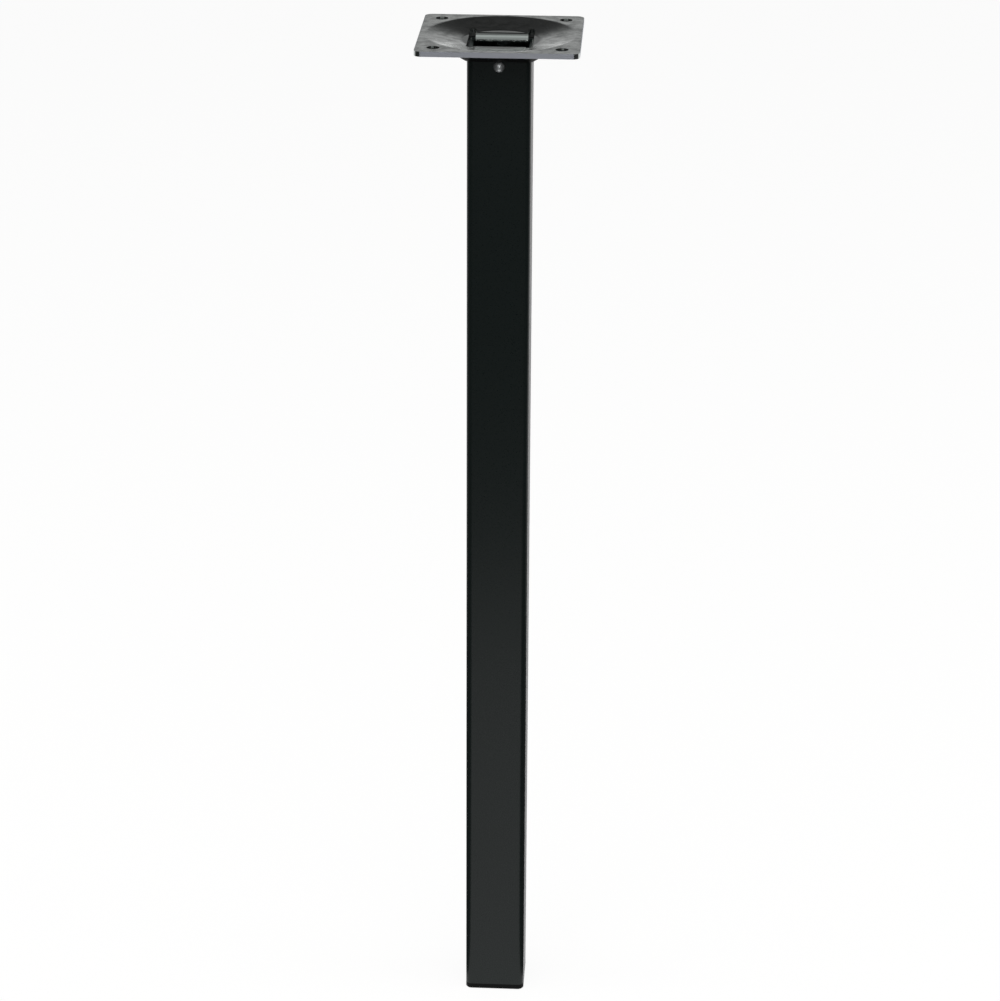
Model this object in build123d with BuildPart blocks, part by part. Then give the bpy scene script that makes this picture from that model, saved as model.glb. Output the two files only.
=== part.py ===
from build123d import *
import math
import os

# Square tube furniture leg with a pressed screw-on plate, in millimetres.
# The origin is on the ground under the middle of the tube, and +Z points up.

# Whole leg
leg_height = 420.0

# Square tube
tube_w = 25.0
tube_wall = 1.5
tube_corner_r = 2.5

# Top plate, one pressing from sheet
plate_w = 63.0
plate_t = 2.0
plate_corner_r = 3.0
screw_spacing = 49.0
screw_d = 5.0

# Round dish pressed into the middle of the plate
dish_rim_d = 59.0
dish_floor_d = 30.0
dish_depth = 2.4
dish_rim_bend_r = 4.0

# Two tongues bent down from the dish into the tube, with a relief slit beside each side
tongue_w = 20.5
tongue_reach = 12.6
tongue_bend_r = 1.0
tongue_corner_r = 2.0
tongue_gap = 0.1
tongue_lap = 0.2
slit_w = 2.5
slit_l = 31.0

# Round-head rivets through the tube and the tongues
rivet_drop = 10.1
rivet_shank_d = 2.8
rivet_hole_gap = 0.05
rivet_head_d = 4.2
rivet_head_h = 1.0
rivet_tail_d = 4.0
rivet_tail_h = 0.9

# Tapered collar around the top of the tube
collar_w = 35.0
collar_foot_w = 27.4
collar_rim_h = 1.2
collar_rise = 1.5
collar_h = 3.55
collar_gap = 0.1

# Foot plug in the bottom of the tube
foot_flange_h = 2.4
foot_bevel = 0.4
plug_stem_w = 17.0
plug_stem_wall = 1.8
plug_stem_h = 17.0
plug_stem_corner_r = 2.5
plug_gap = 0.1
fin_t = 1.0
fin_count = 3
fin_first = 3.5
fin_pitch = 4.5

# Levels and sizes that follow from the ones above
plate_top_z = leg_height
dish_top_z = plate_top_z - dish_depth
tube_top_z = dish_top_z - plate_t
tube_length = tube_top_z - foot_flange_h
bore_w = tube_w - 2 * tube_wall
bore_corner_r = tube_corner_r - tube_wall
tongue_outer_y = bore_w / 2 - tongue_gap
tongue_inner_y = tongue_outer_y - plate_t
tongue_root_y = tongue_outer_y + tongue_bend_r
rivet_z = plate_top_z - rivet_drop
rivet_hole_d = rivet_shank_d + 2 * rivet_hole_gap
collar_rim_z = tube_top_z - collar_rim_h
collar_foot_z = tube_top_z - collar_h
collar_corner_r = tube_corner_r + (collar_w - tube_w) / 2
collar_taper_h = collar_h - collar_rim_h
collar_taper = math.degrees(math.atan2((collar_w - collar_foot_w) / 2, collar_taper_h))
collar_bore_w = tube_w + 2 * collar_gap
collar_bore_r = tube_corner_r + collar_gap
plug_stem_bore_w = plug_stem_w - 2 * plug_stem_wall
plug_stem_bore_r = plug_stem_corner_r - plug_stem_wall
fin_w = bore_w - 2 * plug_gap

# Dished sheet: constant thickness, rounded over the rim of the dish and creased at its flat floor
with BuildPart() as dished_sheet:
    with BuildSketch(Plane.XZ):
        with BuildLine():
            FilletPolyline(
                (0, dish_top_z),
                (dish_floor_d / 2, dish_top_z),
                (dish_rim_d / 2, plate_top_z),
                (plate_w, plate_top_z),
                radius=[0, dish_rim_bend_r + plate_t],
            )
            offset(amount=plate_t, side=Side.RIGHT)
        make_face()
    revolve(axis=Axis.Z)

# Mounting plate: the sheet trimmed to a square with rounded corners, pierced and bent
with BuildPart() as mounting_plate:
    add(dished_sheet.part)
    with BuildSketch(Plane.XY.offset(tube_top_z)):
        RectangleRounded(plate_w, plate_w, plate_corner_r)
    extrude(amount=dish_depth + plate_t, mode=Mode.INTERSECT)

    # Opening in the floor of the dish, with a round-ended slit at both sides
    with BuildSketch(Plane.XY.offset(plate_top_z)):
        Rectangle(tongue_w, 2 * tongue_root_y)
        with GridLocations(tongue_w + slit_w, 0, 2, 1):
            SlotOverall(slit_l, slit_w, rotation=90)
    extrude(amount=plate_top_z - tube_top_z, dir=(0, 0, -1), mode=Mode.SUBTRACT)

    # Tongue at the rear, bent down inside the tube, and its mirror image at the front
    with BuildSketch(Plane.YZ) as tongue_section:
        with BuildLine():
            FilletPolyline(
                (tongue_root_y + tongue_lap, dish_top_z),
                (tongue_inner_y, dish_top_z),
                (tongue_inner_y, dish_top_z - tongue_reach),
                radius=tongue_bend_r + plate_t,
            )
            offset(amount=plate_t, side=Side.LEFT)
        make_face()
    extrude(amount=tongue_w / 2, both=True)
    tongue_tip = mounting_plate.faces().sort_by(Axis.Z)[0]
    fillet(tongue_tip.edges().filter_by(Axis.Y), radius=tongue_corner_r)
    mirror(about=Plane.XZ)

    # Rivet holes and screw holes
    with Locations(Plane.XZ.offset(tongue_outer_y)):
        with Locations((0, rivet_z)):
            Hole(rivet_hole_d / 2, depth=2 * tongue_outer_y)
    with Locations((0, 0, plate_top_z)):
        with GridLocations(screw_spacing, screw_spacing, 2, 2):
            Hole(screw_d / 2, depth=plate_t)
mounting_plate.part.label = "mounting_plate"

# Leg tube: square tube with rounded corners, its mouth opened for the bends of the tongues
with BuildPart() as leg_tube:
    with BuildSketch(Plane.XY.offset(foot_flange_h)):
        RectangleRounded(tube_w, tube_w, tube_corner_r)
        RectangleRounded(bore_w, bore_w, bore_corner_r, mode=Mode.SUBTRACT)
    extrude(amount=tube_length)
    mouth = leg_tube.faces().sort_by(Axis.Z)[-1].inner_wires()[0]
    chamfer(mouth.edges(), length=tongue_bend_r)
    with Locations(Plane.XZ.offset(tube_w / 2)):
        with Locations((0, rivet_z)):
            Hole(rivet_hole_d / 2, depth=tube_w)
leg_tube.part.label = "leg_tube"

# Top collar: moulded ring, hollowed at the top to bear on the dish and tapered down to the tube
with BuildPart() as top_collar:
    with BuildSketch(Plane.XY.offset(collar_rim_z)):
        RectangleRounded(collar_w, collar_w, collar_corner_r)
    extrude(amount=collar_rim_h + collar_rise)
    add(dished_sheet.part, mode=Mode.SUBTRACT)
    with BuildSketch(Plane.XY.offset(collar_rim_z)):
        RectangleRounded(collar_w, collar_w, collar_corner_r)
    extrude(amount=-collar_taper_h, taper=collar_taper)
    with BuildSketch(Plane.XY.offset(collar_foot_z)):
        RectangleRounded(collar_bore_w, collar_bore_w, collar_bore_r)
    extrude(amount=collar_h + collar_rise, mode=Mode.SUBTRACT)
top_collar.part.label = "top_collar"

# Rivets: domed head outside the tube, shank through wall and tongue, flat upset end inside
with BuildPart() as front_rivet:
    with BuildSketch(Plane(origin=(0, 0, rivet_z), x_dir=(0, -1, 0), z_dir=(-1, 0, 0))):
        with BuildLine():
            Line((tongue_inner_y - rivet_tail_h, 0), (tube_w / 2 + rivet_head_h, 0))
            TangentArc(
                (tube_w / 2 + rivet_head_h, 0),
                (tube_w / 2, rivet_head_d / 2),
                tangent=(0, 1),
            )
            Polyline(
                (tube_w / 2, rivet_head_d / 2),
                (tube_w / 2, rivet_shank_d / 2),
                (tongue_inner_y, rivet_shank_d / 2),
                (tongue_inner_y, rivet_tail_d / 2),
                (tongue_inner_y - rivet_tail_h, rivet_tail_d / 2),
                (tongue_inner_y - rivet_tail_h, 0),
            )
        make_face()
    revolve(axis=Axis((0, 0, rivet_z), (0, 1, 0)))
front_rivet.part.label = "front_rivet"

with BuildPart() as rear_rivet:
    mirror(front_rivet.part, about=Plane.XZ)
rear_rivet.part.label = "rear_rivet"

# Foot plug: bevelled flange under the tube and a hollow stem with fins that wedge in the bore
with BuildPart() as foot_plug:
    with BuildSketch(Plane.XY):
        RectangleRounded(tube_w, tube_w, tube_corner_r)
    extrude(amount=foot_flange_h)
    chamfer(foot_plug.edges().group_by(Axis.Z)[0], length=foot_bevel)
    with BuildSketch(Plane.XY.offset(foot_flange_h)):
        RectangleRounded(plug_stem_w, plug_stem_w, plug_stem_corner_r)
    extrude(amount=plug_stem_h)
    for i in range(fin_count):
        fin_z = foot_flange_h + fin_first + fin_pitch * i
        with BuildSketch(Plane.XY.offset(fin_z)):
            RectangleRounded(fin_w, fin_w, bore_corner_r)
        extrude(amount=fin_t)
    with BuildSketch(Plane.XY.offset(foot_flange_h)):
        RectangleRounded(plug_stem_bore_w, plug_stem_bore_w, plug_stem_bore_r)
    extrude(amount=plug_stem_h, mode=Mode.SUBTRACT)
foot_plug.part.label = "foot_plug"

# One file for each piece
os.makedirs("parts", exist_ok=True)
export_step(mounting_plate.part, "parts/mounting_plate.step")
export_step(leg_tube.part, "parts/leg_tube.step")
export_step(top_collar.part, "parts/top_collar.step")
export_step(front_rivet.part, "parts/front_rivet.step")
export_step(rear_rivet.part, "parts/rear_rivet.step")
export_step(foot_plug.part, "parts/foot_plug.step")
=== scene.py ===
from math import cos, radians, sin

import bpy
from mathutils import Matrix, Vector

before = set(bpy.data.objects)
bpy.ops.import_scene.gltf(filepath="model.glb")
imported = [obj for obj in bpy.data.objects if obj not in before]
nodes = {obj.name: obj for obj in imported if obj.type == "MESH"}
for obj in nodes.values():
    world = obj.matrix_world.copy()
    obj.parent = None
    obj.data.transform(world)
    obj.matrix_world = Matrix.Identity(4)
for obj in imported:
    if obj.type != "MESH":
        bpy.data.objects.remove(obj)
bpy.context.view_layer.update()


# Leg tube
# A length of square welded steel tube with rounded corners, cut square at both ends and
# powder coated black. The coat hides the steel and gives the whole face one deep satin black.
def srgb(code):
    """Linear RGBA from an sRGB hex colour."""
    shares = [int(code[i:i + 2], 16) / 255 for i in (1, 3, 5)]
    linear = [s / 12.92 if s <= 0.04045 else ((s + 0.055) / 1.055) ** 2.4 for s in shares]
    return (*linear, 1.0)


def add_node(tree, kind, settings=None, inputs=None):
    """A node with its settings, its input values, and the sockets linked to its inputs."""
    node = tree.nodes.new(kind)
    for name, value in (settings or {}).items():
        setattr(node, name, value)
    for name, value in (inputs or {}).items():
        if isinstance(value, bpy.types.NodeSocket):
            tree.links.new(value, node.inputs[name])
        else:
            node.inputs[name].default_value = value
    return node


def new_finish(name):
    """A named material with an empty node tree, and its output node."""
    finish = bpy.data.materials.new(name)
    finish.use_nodes = True
    finish.node_tree.nodes.clear()
    output = finish.node_tree.nodes.new("ShaderNodeOutputMaterial")
    return finish, finish.node_tree, output


def dress(node_name, finish):
    """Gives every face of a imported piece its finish."""
    mesh = nodes[node_name].data
    mesh.materials.clear()
    mesh.materials.append(finish)


# Powder coat, baked: satin black with the faint orange peel of a melted powder.
# The eye sees one calm face whose reflections are soft and a little uneven. The powder's own
# grain is finer than this, and is drawn coarser so that it shows.
COAT_BLACK = srgb("#111817")
COAT_BLACK_THIN = srgb("#161d1c")
COAT_SHEEN = 0.3
PEEL_WIDTH = 0.0016
PEEL_HEIGHT = 0.000010
POWDER_GRAIN = 0.00035
COAT_SMOOTHEST = 0.27
COAT_ROUGHEST = 0.35
powder_coat, tree, output = new_finish("black_powder_coat_satin")
place = add_node(tree, "ShaderNodeTexCoord").outputs["Object"]
peel = add_node(tree, "ShaderNodeTexNoise", inputs={
    "Vector": place, "Scale": 1 / PEEL_WIDTH, "Detail": 1.5, "Roughness": 0.4})
grain = add_node(tree, "ShaderNodeTexNoise", inputs={
    "Vector": place, "Scale": 1 / POWDER_GRAIN, "Detail": 1.0, "Roughness": 0.5})
coat_colour = add_node(tree, "ShaderNodeMix", {"data_type": "RGBA"}, {
    "Factor": grain.outputs["Fac"], "A": COAT_BLACK, "B": COAT_BLACK_THIN})
coat_gloss = add_node(tree, "ShaderNodeMapRange", inputs={
    "Value": grain.outputs["Fac"], "From Min": 0.3, "From Max": 0.7,
    "To Min": COAT_SMOOTHEST, "To Max": COAT_ROUGHEST})
peel_bump = add_node(tree, "ShaderNodeBump", inputs={
    "Strength": 1.0, "Distance": PEEL_HEIGHT, "Height": peel.outputs["Fac"]})
coat_shader = add_node(tree, "ShaderNodeBsdfPrincipled", inputs={
    "Base Color": coat_colour.outputs["Result"], "Roughness": coat_gloss.outputs["Result"],
    "Specular IOR Level": COAT_SHEEN, "Normal": peel_bump.outputs["Normal"]})
tree.links.new(coat_shader.outputs["BSDF"], output.inputs["Surface"])
dress("leg_tube", powder_coat)


# Mounting plate
# One pressing from two-millimetre steel sheet: a square border, a round dish and two tongues
# that reach down into the tube. It is zinc plated after pressing and left unpainted.

# Zinc plate, as it leaves the bath: a clouded grey metal with faint lines from rolling. The eye
# sees soft patches on the faces, a darker grey in the screw holes and a matt sheared edge. The
# middle of the dish and the tongues are drawn a darker zinc, which is painted shade. The rolling
# lines are drawn coarser than real.
ZINC = srgb("#dde1df")
ZINC_DULL = srgb("#a0a5a3")
ZINC_CUT = srgb("#c6c9d1")
# Painted shade: a darker zinc over the middle of the dish and down the tongues into the tube, full
# inside the first radius and gone by the second.
ZINC_PAINTED_SHADE = srgb("#757a78")
PAINTED_SHADE_FULL = 0.0145
PAINTED_SHADE_END = 0.0165
# A darker grey on the walls of the four screw holes.
ZINC_IN_SCREW_HOLES = srgb("#a4a8a6")
SCREW_FROM_MIDDLE = 0.0245
SCREW_HOLE_REACH = 0.00256
CLOUD_WIDTH = 0.0045
ROLLING_LINE = 0.00025
ROLLING_LENGTH = 0.009
ROLLING_HEIGHT = 0.00002
ZINC_SMOOTHEST = 0.09
ZINC_ROUGHEST = 0.2
CUT_ROUGHNESS = 0.58
CUT_DEPTH = 0.0001
PLATE_HALF = max(corner[0] for corner in nodes["mounting_plate"].bound_box)
zinc_plate, tree, output = new_finish("zinc_plated_pressed_steel")
place = add_node(tree, "ShaderNodeTexCoord").outputs["Object"]
clouds = add_node(tree, "ShaderNodeTexNoise", inputs={
    "Vector": place, "Scale": 1 / CLOUD_WIDTH, "Detail": 4.0, "Roughness": 0.6})
line_space = add_node(tree, "ShaderNodeMapping", inputs={
    "Vector": place, "Scale": (1 / ROLLING_LENGTH, 1 / ROLLING_LINE, 1 / ROLLING_LINE)})
lines = add_node(tree, "ShaderNodeTexNoise", inputs={
    "Vector": line_space.outputs["Vector"], "Scale": 1.0, "Detail": 2.0, "Roughness": 0.5})
cloud_share = add_node(tree, "ShaderNodeMapRange", inputs={
    "Value": clouds.outputs["Fac"], "From Min": 0.38, "From Max": 0.66, "To Min": 0.0, "To Max": 1.0})
zinc_colour = add_node(tree, "ShaderNodeMix", {"data_type": "RGBA"}, {
    "Factor": cloud_share.outputs["Result"], "A": ZINC, "B": ZINC_DULL})
zinc_gloss = add_node(tree, "ShaderNodeMapRange", inputs={
    "Value": clouds.outputs["Fac"], "From Min": 0.3, "From Max": 0.7,
    "To Min": ZINC_SMOOTHEST, "To Max": ZINC_ROUGHEST})
flat_place = add_node(tree, "ShaderNodeVectorMath", {"operation": "MULTIPLY"}, {
    0: place, 1: (1, 1, 0)})
from_middle = add_node(tree, "ShaderNodeVectorMath", {"operation": "LENGTH"}, {
    0: flat_place.outputs["Vector"]})
# Painted shade: the share of darker zinc, full near the middle of the dish and fading out towards its
# wall.
painted_shade_share = add_node(tree, "ShaderNodeMapRange", {"interpolation_type": "SMOOTHSTEP"}, {
    "Value": from_middle.outputs["Value"], "From Min": PAINTED_SHADE_FULL, "From Max": PAINTED_SHADE_END,
    "To Min": 1.0, "To Max": 0.0})
painted_shade_colour = add_node(tree, "ShaderNodeMix", {"data_type": "RGBA"}, {
    "Factor": painted_shade_share.outputs["Result"], "A": zinc_colour.outputs["Result"], "B": ZINC_PAINTED_SHADE})
spot = add_node(tree, "ShaderNodeSeparateXYZ", inputs={"Vector": place})
across = add_node(tree, "ShaderNodeMath", {"operation": "ABSOLUTE"}, {0: spot.outputs["X"]})
along = add_node(tree, "ShaderNodeMath", {"operation": "ABSOLUTE"}, {0: spot.outputs["Y"]})
reach = add_node(tree, "ShaderNodeMath", {"operation": "MAXIMUM"}, {
    0: across.outputs["Value"], 1: along.outputs["Value"]})
cut_share = add_node(tree, "ShaderNodeMath", {"operation": "GREATER_THAN"}, {
    0: reach.outputs["Value"], 1: PLATE_HALF - CUT_DEPTH})
one_corner = add_node(tree, "ShaderNodeCombineXYZ", inputs={
    "X": across.outputs["Value"], "Y": along.outputs["Value"]})
from_screw = add_node(tree, "ShaderNodeVectorMath", {"operation": "DISTANCE"}, {
    0: one_corner.outputs["Vector"], 1: (SCREW_FROM_MIDDLE, SCREW_FROM_MIDDLE, 0)})
hole_share = add_node(tree, "ShaderNodeMath", {"operation": "LESS_THAN"}, {
    0: from_screw.outputs["Value"], 1: SCREW_HOLE_REACH})
pierced_colour = add_node(tree, "ShaderNodeMix", {"data_type": "RGBA"}, {
    "Factor": hole_share.outputs["Value"], "A": painted_shade_colour.outputs["Result"], "B": ZINC_IN_SCREW_HOLES})
plate_colour = add_node(tree, "ShaderNodeMix", {"data_type": "RGBA"}, {
    "Factor": cut_share.outputs["Value"], "A": pierced_colour.outputs["Result"], "B": ZINC_CUT})
plate_gloss = add_node(tree, "ShaderNodeMix", {"data_type": "FLOAT"}, {
    "Factor": cut_share.outputs["Value"], "A": zinc_gloss.outputs["Result"], "B": CUT_ROUGHNESS})
zinc_bump = add_node(tree, "ShaderNodeBump", inputs={
    "Strength": 0.3, "Distance": ROLLING_HEIGHT, "Height": lines.outputs["Fac"]})
zinc_shader = add_node(tree, "ShaderNodeBsdfPrincipled", inputs={
    "Base Color": plate_colour.outputs["Result"], "Metallic": 1.0,
    "Roughness": plate_gloss.outputs["Result"], "Normal": zinc_bump.outputs["Normal"]})
tree.links.new(zinc_shader.outputs["BSDF"], output.inputs["Surface"])
dress("mounting_plate", zinc_plate)


# Top collar and foot plug
# Two black plastic mouldings: the collar is slid over the tube and held by the plate, and
# the plug is hammered into the bottom end, where its fins grip the bore.

# Polyethylene, moulded in a finely sparked tool: a flat deep black whose highlights are broad and
# dull. The grain is drawn coarser than the tool's so that it shows.
MOULDED_BLACK = srgb("#070808")
MOULDED_SHEEN = 0.1
MOULD_GRAIN = 0.0004
MOULD_GRAIN_HEIGHT = 0.00003
MOULD_SMOOTHEST = 0.42
MOULD_ROUGHEST = 0.56
moulded, tree, output = new_finish("moulded_black_polyethylene")
place = add_node(tree, "ShaderNodeTexCoord").outputs["Object"]
mould_grain = add_node(tree, "ShaderNodeTexNoise", inputs={
    "Vector": place, "Scale": 1 / MOULD_GRAIN, "Detail": 2.0, "Roughness": 0.6})
mould_gloss = add_node(tree, "ShaderNodeMapRange", inputs={
    "Value": mould_grain.outputs["Fac"], "From Min": 0.3, "From Max": 0.7,
    "To Min": MOULD_SMOOTHEST, "To Max": MOULD_ROUGHEST})
mould_bump = add_node(tree, "ShaderNodeBump", inputs={
    "Strength": 0.6, "Distance": MOULD_GRAIN_HEIGHT, "Height": mould_grain.outputs["Fac"]})
mould_shader = add_node(tree, "ShaderNodeBsdfPrincipled", inputs={
    "Base Color": MOULDED_BLACK, "Roughness": mould_gloss.outputs["Result"],
    "Specular IOR Level": MOULDED_SHEEN, "Normal": mould_bump.outputs["Normal"]})
tree.links.new(mould_shader.outputs["BSDF"], output.inputs["Surface"])
dress("top_collar", moulded)
dress("foot_plug", moulded)


# Rivets
# Round-head steel rivets, bright zinc plated, one through the front wall and one through the
# rear. Each is closed against the tongue inside the tube.

# Zinc plated cold-headed steel: a light grey dome with small dents, so that its highlight is
# soft and broken.
RIVET_ZINC = srgb("#dfe2e3")
DENT_WIDTH = 0.0008
DENT_DEPTH = 0.00003
RIVET_SMOOTHEST = 0.42
RIVET_ROUGHEST = 0.52
rivet_steel, tree, output = new_finish("bright_zinc_plated_rivet")
place = add_node(tree, "ShaderNodeTexCoord").outputs["Object"]
dents = add_node(tree, "ShaderNodeTexNoise", inputs={
    "Vector": place, "Scale": 1 / DENT_WIDTH, "Detail": 2.0, "Roughness": 0.5})
rivet_gloss = add_node(tree, "ShaderNodeMapRange", inputs={
    "Value": dents.outputs["Fac"], "From Min": 0.3, "From Max": 0.7,
    "To Min": RIVET_SMOOTHEST, "To Max": RIVET_ROUGHEST})
rivet_bump = add_node(tree, "ShaderNodeBump", inputs={
    "Strength": 0.5, "Distance": DENT_DEPTH, "Height": dents.outputs["Fac"]})
rivet_shader = add_node(tree, "ShaderNodeBsdfPrincipled", inputs={
    "Base Color": RIVET_ZINC, "Metallic": 1.0, "Roughness": rivet_gloss.outputs["Result"],
    "Normal": rivet_bump.outputs["Normal"]})
tree.links.new(rivet_shader.outputs["BSDF"], output.inputs["Surface"])
dress("front_rivet", rivet_steel)
dress("rear_rivet", rivet_steel)


# Floor
# A grey table with white paper fanning out from the foot to the front and to the back. Seen
# directly the whole table is the white of the photograph's ground. The tube's front mirrors
# the paper, which ends a little way in front of the foot, and its corners mirror the grey.
PAPER_FRONT = -0.45
PAPER_BACK = 2.8
PAPER_FRONT_SIDE = 0.25
PAPER_BACK_SIDE = 0.95
PAPER_WHITE = srgb("#f2f2f0")
TABLE_GREY = srgb("#5a5a5a")
PAPER_SEEN_WHITE = 0.86
PAPER_GLOW = 1.05
FAN_HALF_AT_FOOT = 0.02
FAN_HALF_AT_FRONT = 0.14
floor_mesh = bpy.data.meshes.new("floor_paper")
floor_mesh.from_pydata(
    [(-PAPER_FRONT_SIDE, PAPER_FRONT, 0), (PAPER_FRONT_SIDE, PAPER_FRONT, 0),
     (PAPER_BACK_SIDE, PAPER_BACK, 0), (-PAPER_BACK_SIDE, PAPER_BACK, 0)],
    [], [(0, 1, 2, 3)])
floor = bpy.data.objects.new("floor_paper", floor_mesh)
bpy.context.scene.collection.objects.link(floor)
paper, tree, output = new_finish("white_paper_floor")
ray = add_node(tree, "ShaderNodeLightPath")
mirrored = add_node(tree, "ShaderNodeMath", {"operation": "MAXIMUM"}, {
    0: ray.outputs["Is Glossy Ray"], 1: ray.outputs["Is Transmission Ray"]})
floor_spot = add_node(tree, "ShaderNodeSeparateXYZ", inputs={
    "Vector": add_node(tree, "ShaderNodeTexCoord").outputs["Object"]})
floor_depth = add_node(tree, "ShaderNodeMath", {"operation": "ABSOLUTE"}, {0: floor_spot.outputs["Y"]})
fan_half = add_node(tree, "ShaderNodeMapRange", {"clamp": False}, {
    "Value": floor_depth.outputs["Value"], "From Min": 0.0, "From Max": -PAPER_FRONT,
    "To Min": FAN_HALF_AT_FOOT, "To Max": FAN_HALF_AT_FRONT})
fan = add_node(tree, "ShaderNodeMath", {"operation": "COMPARE"}, {
    0: floor_spot.outputs["X"], 1: 0.0, 2: fan_half.outputs["Result"]})
fan_or_seen = add_node(tree, "ShaderNodeMath", {"operation": "MAXIMUM"}, {
    0: fan.outputs["Value"], 1: ray.outputs["Is Camera Ray"]})
floor_tone = add_node(tree, "ShaderNodeMix", {"data_type": "RGBA"}, {
    "Factor": fan_or_seen.outputs["Value"], "A": TABLE_GREY, "B": PAPER_WHITE})
mirrored_fan = add_node(tree, "ShaderNodeMath", {"operation": "MULTIPLY"}, {
    0: mirrored.outputs["Value"], 1: fan.outputs["Value"]})
seen = add_node(tree, "ShaderNodeMath", {"operation": "MAXIMUM"}, {
    0: ray.outputs["Is Camera Ray"], 1: mirrored_fan.outputs["Value"]})
seen_white = add_node(tree, "ShaderNodeMath", {"operation": "MULTIPLY"}, {
    0: seen.outputs["Value"], 1: PAPER_SEEN_WHITE})
paper_diffuse = add_node(tree, "ShaderNodeBsdfDiffuse", inputs={"Color": floor_tone.outputs["Result"]})
paper_glow = add_node(tree, "ShaderNodeEmission", inputs={
    "Color": (1, 1, 1, 1), "Strength": PAPER_GLOW})
paper_shader = add_node(tree, "ShaderNodeMixShader", inputs={
    0: seen_white.outputs["Value"], 1: paper_diffuse.outputs["BSDF"], 2: paper_glow.outputs["Emission"]})
tree.links.new(paper_shader.outputs["Shader"], output.inputs["Surface"])
floor_mesh.materials.append(paper)


# Room
# Seen directly it is the white of the photograph's ground. Metal mirrors that white behind the
# leg, bright at the horizon and fading upwards, a pale ceiling and a dark room in front.
ROOM_DIFFUSE = 0.35
ROOM_MIRRORED = 0.03
CEILING_MIRRORED = 0.6
CEILING_EDGE = 0.72
CEILING_FULL = 0.88
BEHIND_EDGE = 0.1
BEHIND_FULL = 0.5
scene = bpy.context.scene
world = bpy.data.worlds.new("studio_room")
scene.world = world
world.use_nodes = True
tree = world.node_tree
tree.nodes.clear()
output = tree.nodes.new("ShaderNodeOutputWorld")
ray = add_node(tree, "ShaderNodeLightPath")
direction = add_node(tree, "ShaderNodeSeparateXYZ", inputs={
    "Vector": add_node(tree, "ShaderNodeTexCoord").outputs["Generated"]})
backdrop_rise = add_node(tree, "ShaderNodeValToRGB", inputs={"Fac": direction.outputs["Z"]})
rise_shades = [(0.0, 1.0), (0.1, 0.38), (0.26, 0.31), (0.38, 0.0)]
while len(backdrop_rise.color_ramp.elements) < len(rise_shades):
    backdrop_rise.color_ramp.elements.new(0.5)
for element, (position, shade) in zip(backdrop_rise.color_ramp.elements, rise_shades):
    element.position = position
    element.color = (shade, shade, shade, 1)
behind = add_node(tree, "ShaderNodeMapRange", inputs={
    "Value": direction.outputs["Y"], "From Min": BEHIND_EDGE, "From Max": BEHIND_FULL,
    "To Min": 0.0, "To Max": 1.0})
backdrop = add_node(tree, "ShaderNodeMath", {"operation": "MULTIPLY"}, {
    0: backdrop_rise.outputs["Color"], 1: behind.outputs["Result"]})
ceiling = add_node(tree, "ShaderNodeMapRange", {"interpolation_type": "SMOOTHSTEP"}, {
    "Value": direction.outputs["Z"], "From Min": CEILING_EDGE, "From Max": CEILING_FULL,
    "To Min": 0.0, "To Max": CEILING_MIRRORED})
pale_room = add_node(tree, "ShaderNodeMath", {"operation": "MAXIMUM"}, {
    0: backdrop.outputs["Value"], 1: ceiling.outputs["Result"]})
mirrored = add_node(tree, "ShaderNodeMath", {"operation": "MAXIMUM"}, {
    0: ray.outputs["Is Glossy Ray"], 1: ray.outputs["Is Transmission Ray"]})
mirrored_white = add_node(tree, "ShaderNodeMath", {"operation": "MULTIPLY"}, {
    0: mirrored.outputs["Value"], 1: pale_room.outputs["Value"]})
seen_white = add_node(tree, "ShaderNodeMath", {"operation": "MAXIMUM"}, {
    0: ray.outputs["Is Camera Ray"], 1: mirrored_white.outputs["Value"]})
room_level = add_node(tree, "ShaderNodeMapRange", inputs={
    "Value": mirrored.outputs["Value"], "To Min": ROOM_DIFFUSE, "To Max": ROOM_MIRRORED})
room_light = add_node(tree, "ShaderNodeBackground", inputs={
    "Color": (1, 1, 1, 1), "Strength": room_level.outputs["Result"]})
white_ground = add_node(tree, "ShaderNodeBackground", inputs={"Color": (1, 1, 1, 1), "Strength": 1.0})
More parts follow.
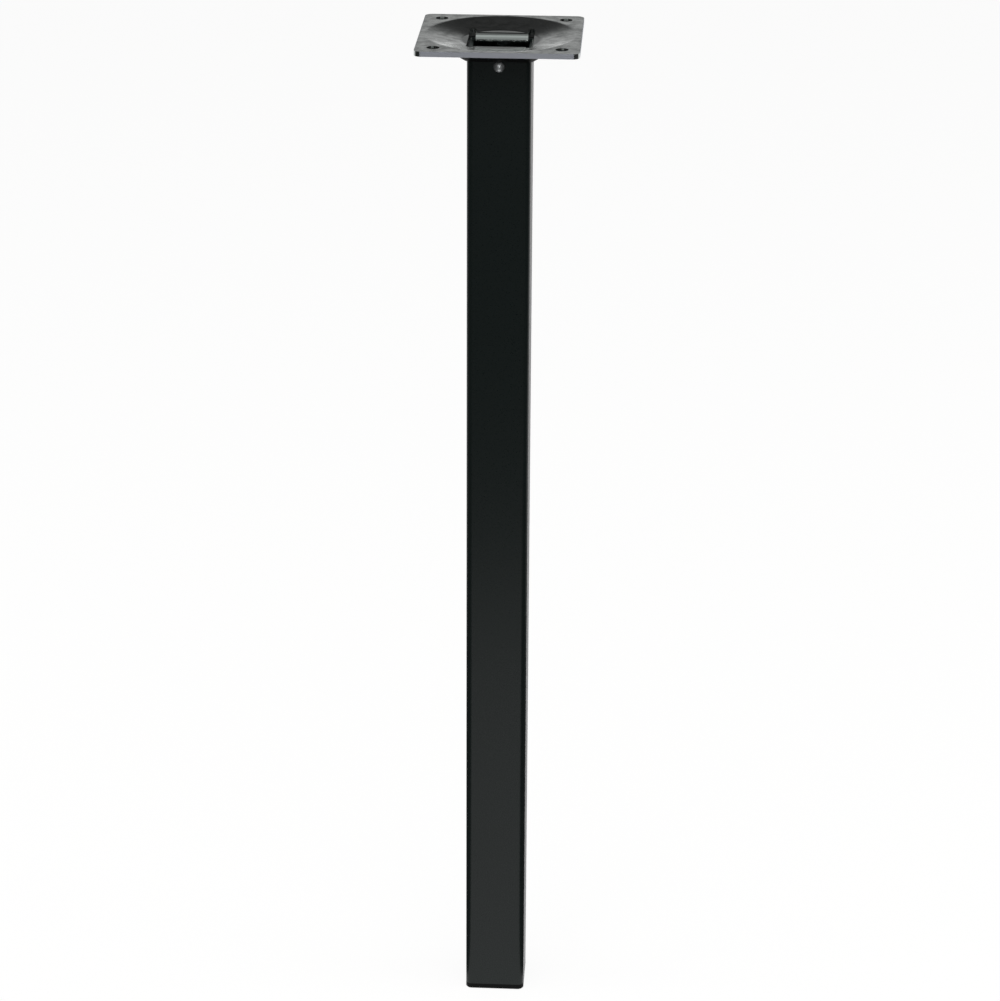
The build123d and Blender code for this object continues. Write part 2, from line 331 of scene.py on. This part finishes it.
room_mix = add_node(tree, "ShaderNodeMixShader", inputs={
    0: seen_white.outputs["Value"], 1: room_light.outputs["Background"],
    2: white_ground.outputs["Background"]})
tree.links.new(room_mix.outputs["Shader"], output.inputs["Surface"])


# Lamps
# One large soft box in front and above, a weaker one at each side, and a small one low in
# front that lights the rivet and the cut edge under the overhang of the plate.
def soft_box(name, place, aim, size, watts):
    """A square area lamp that looks from its place at its aim."""
    lamp = bpy.data.lights.new(name, "AREA")
    lamp.shape = "SQUARE"
    lamp.size = size
    lamp.energy = watts
    holder = bpy.data.objects.new(name, lamp)
    holder.location = place
    holder.rotation_euler = (Vector(aim) - Vector(place)).to_track_quat("-Z", "Y").to_euler()
    scene.collection.objects.link(holder)


leg_middle = (0, 0, 0.25)
soft_box("key_box", (0.0, -1.15, 1.9), leg_middle, 2.6, 23)
soft_box("left_box", (-1.5, -0.2, 1.2), leg_middle, 0.9, 4)
soft_box("right_box", (1.5, -0.1, 1.2), leg_middle, 0.9, 5)
leg_top = (0, 0, 0.42)
soft_box("low_box", (0.1, -1.3, 0.6), leg_top, 0.12, 1.8)


# Camera
# It stands in front of the leg, a little to its right and above the plate, and looks down.
camera_place = Vector((0.05879, -1.13974, 0.69146))
camera_aim = Vector((0.00065, 0.00005, 0.22488))
camera_roll = radians(0.302)
picture_height_px = 1001
focal_px = 2997.0
camera_data = bpy.data.cameras.new("camera")
camera_data.sensor_width = 36.0
camera_data.lens = focal_px * camera_data.sensor_width / picture_height_px
camera = bpy.data.objects.new("camera", camera_data)
forward = (camera_aim - camera_place).normalized()
level_right = forward.cross(Vector((0, 0, 1))).normalized()
level_up = level_right.cross(forward)
right = cos(camera_roll) * level_right + sin(camera_roll) * level_up
up = cos(camera_roll) * level_up - sin(camera_roll) * level_right
camera_turn = Matrix((right, up, -forward)).transposed().to_4x4()
camera.matrix_world = Matrix.Translation(camera_place) @ camera_turn
scene.collection.objects.link(camera)
scene.camera = camera
scene.view_settings.view_transform = "Standard"
